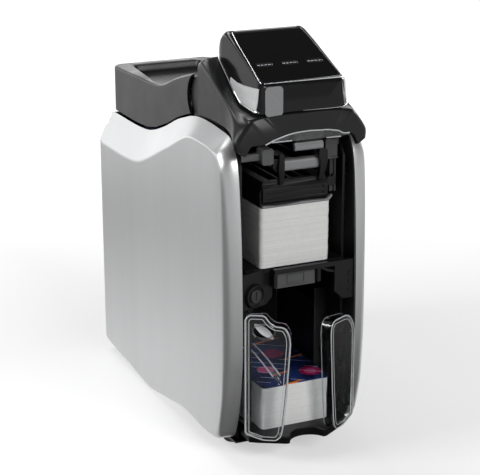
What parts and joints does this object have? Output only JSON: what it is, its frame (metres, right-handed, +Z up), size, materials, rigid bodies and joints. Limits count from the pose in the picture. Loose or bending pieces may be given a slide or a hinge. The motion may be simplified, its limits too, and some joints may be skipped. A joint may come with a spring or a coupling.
{
  "type": "id card printer",
  "caption": "Narrow desktop printer for plastic ID cards: silver side panels, black hinged lid with a sloped display pod, rear cover, card hopper above a guarded output tray.",
  "frame": {"origin": "On the floor plane, under the middle of the printer's outer box.", "axes": "+Z is up and is the height, the longest extent; the front with the card openings looks to -Y; +X is on the right for someone facing that front."},
  "size_m": [0.1114, 0.2756, 0.3004],
  "materials": {
    "silver_paint": "satin silver",
    "body_black": "fine matte grain",
    "lid_graphite": "satin",
    "pod_gloss": "polished",
    "screen_glass": "polished",
    "bright_trim": "polished",
    "clear_plastic": "clear moulding",
    "frame_steel": "plated sheet",
    "shaft_steel": "ground",
    "card_white": "card laminate",
    "card_print": "printed laminate",
    "rubber_black": "moulded",
    "gear_acetal": "moulded",
    "pinion_brass": "turned",
    "mech_grey": "moulded",
    "light_grey": "moulded",
    "board_green": "solder mask",
    "ribbon_film": "film",
    "port_metal": "plated",
    "screw_steel": "plated",
    "key_grey": "moulded"
  },
  "bodies": {
    "printer_body": {"base_pan": "body_black", "rubber_feet": "rubber_black", "left_side_panel": "silver_paint", "right_side_panel": "silver_paint", "rear_panel": "body_black", "rear_ports": "port_metal", "left_frame": "frame_steel", "right_frame": "frame_steel", "hinge_beam": "body_black", "input_hopper": "body_black", "guide_rail": "mech_grey", "card_sensor": "light_grey", "input_cards": "card_white", "front_bezel": "lid_graphite", "lock_housing": "body_black", "output_tray": "body_black", "left_guard": "clear_plastic", "right_guard": "clear_plastic", "output_cards": "card_white", "printed_card": "card_print", "card_track": "body_black", "main_board": "board_green", "drive_motor": "frame_steel", "panel_screws": "screw_steel"},
    "lid": {"lid_shell": "lid_graphite", "lid_arms": "body_black", "display_pod": "pod_gloss", "display_glass": "screen_glass", "pod_trim": "bright_trim", "display_board": "board_green", "lip_rim": "clear_plastic", "latch_block": "body_black"},
    "latch": {"lid_latch": "light_grey"},
    "key_left": {"left_key": "key_grey"},
    "key_middle": {"middle_key": "key_grey"},
    "key_right": {"right_key": "key_grey"},
    "cover": {"rear_cover": "lid_graphite", "cover_pin": "shaft_steel"},
    "weight": {"card_weight": "body_black", "weight_handle": "light_grey"},
    "flap": {"feed_flap": "mech_grey"},
    "lock": {"lock_plug": "light_grey"},
    "pick": {"pick_roller": "rubber_black", "pick_shaft": "shaft_steel", "pick_gear": "gear_acetal"},
    "feed": {"feed_roller": "rubber_black", "feed_shaft": "shaft_steel", "feed_gear": "gear_acetal"},
    "platen": {"platen_roller": "rubber_black", "platen_shaft": "shaft_steel", "platen_gear": "gear_acetal"},
    "idler_pick": {"pick_idler": "gear_acetal"},
    "idler_feed": {"feed_idler": "gear_acetal"},
    "motor_rotor": {"motor_pinion": "pinion_brass"},
    "head": {"head_bracket": "frame_steel", "printhead": "light_grey"},
    "supply": {"supply_spool": "gear_acetal", "supply_ribbon": "ribbon_film"},
    "takeup": {"takeup_spool": "gear_acetal", "takeup_ribbon": "ribbon_film"}
  },
  "joints": [
    {"name": "lid_hinge", "type": "hinge", "parent": "printer_body", "child": "lid", "pos_m": [0, -0.0475, 0.264], "axis": [-1, 0, 0], "range_deg": [0, 40]},
    {"name": "rear_cover_hinge", "type": "hinge", "parent": "printer_body", "child": "cover", "pos_m": [0, 0.1275, 0.215], "axis": [-1, 0, 0], "range_deg": [0, 70]},
    {"name": "latch_slide", "type": "slide", "parent": "lid", "child": "latch", "axis": [0, 1, 0], "range_m": [0, 0.002], "stiffness_N_per_m": 120, "springref_m": -0.001},
    {"name": "left_key_press", "type": "slide", "parent": "lid", "child": "key_left", "axis": [0, 0.411, -0.9116], "range_m": [0, 0.0008], "stiffness_N_per_m": 200, "springref_m": -0.0006},
    {"name": "middle_key_press", "type": "slide", "parent": "lid", "child": "key_middle", "axis": [0, 0.411, -0.9116], "range_m": [0, 0.0008], "stiffness_N_per_m": 200, "springref_m": -0.0006},
    {"name": "right_key_press", "type": "slide", "parent": "lid", "child": "key_right", "axis": [0, 0.411, -0.9116], "range_m": [0, 0.0008], "stiffness_N_per_m": 200, "springref_m": -0.0006},
    {"name": "card_weight_slide", "type": "slide", "parent": "printer_body", "child": "weight", "axis": [0, 0, 1], "range_m": [0, 0.01]},
    {"name": "feed_flap_hinge", "type": "hinge", "parent": "printer_body", "child": "flap", "pos_m": [0, -0.1105, 0.1354], "axis": [1, 0, 0], "range_deg": [0, 60]},
    {"name": "lock_turn", "type": "hinge", "parent": "printer_body", "child": "lock", "pos_m": [-0.0336, -0.1155, 0.1246], "axis": [0.342, -0.9397, 0], "range_deg": [0, 90]},
    {"name": "print_head_hinge", "type": "hinge", "parent": "printer_body", "child": "head", "pos_m": [0, 0.0745, 0.16], "axis": [-1, 0, 0], "range_deg": [0, 12]},
    {"name": "platen_drive", "type": "hinge", "parent": "printer_body", "child": "platen", "pos_m": [0, 0.0335, 0.1347], "axis": [1, 0, 0], "continuous": true},
    {"name": "feed_idler_turn", "type": "hinge", "parent": "printer_body", "child": "idler_feed", "pos_m": [0, 0.015, 0.1271], "axis": [1, 0, 0], "continuous": true},
    {"name": "feed_drive", "type": "hinge", "parent": "printer_body", "child": "feed", "pos_m": [0, -0.0035, 0.1347], "axis": [1, 0, 0], "continuous": true},
    {"name": "pick_idler_turn", "type": "hinge", "parent": "printer_body", "child": "idler_pick", "pos_m": [0, -0.025, 0.12653], "axis": [1, 0, 0], "continuous": true},
    {"name": "pick_drive", "type": "hinge", "parent": "printer_body", "child": "pick", "pos_m": [0, -0.0465, 0.1347], "axis": [1, 0, 0], "continuous": true},
    {"name": "motor_turn", "type": "hinge", "parent": "printer_body", "child": "motor_rotor", "pos_m": [0, 0.015, 0.1111], "axis": [1, 0, 0], "continuous": true},
    {"name": "supply_spool_turn", "type": "hinge", "parent": "printer_body", "child": "supply", "pos_m": [0, 0.0925, 0.188], "axis": [1, 0, 0], "continuous": true},
    {"name": "takeup_spool_turn", "type": "hinge", "parent": "printer_body", "child": "takeup", "pos_m": [0, -0.0075, 0.188], "axis": [1, 0, 0], "continuous": true}
  ],
  "couplings": [
    {"joint": "feed_idler_turn", "follows": "platen_drive", "ratio": -1},
    {"joint": "feed_drive", "follows": "platen_drive", "ratio": 1},
    {"joint": "pick_idler_turn", "follows": "platen_drive", "ratio": -0.76923},
    {"joint": "pick_drive", "follows": "platen_drive", "ratio": 1},
    {"joint": "motor_turn", "follows": "platen_drive", "ratio": 1.6667}
  ]
}
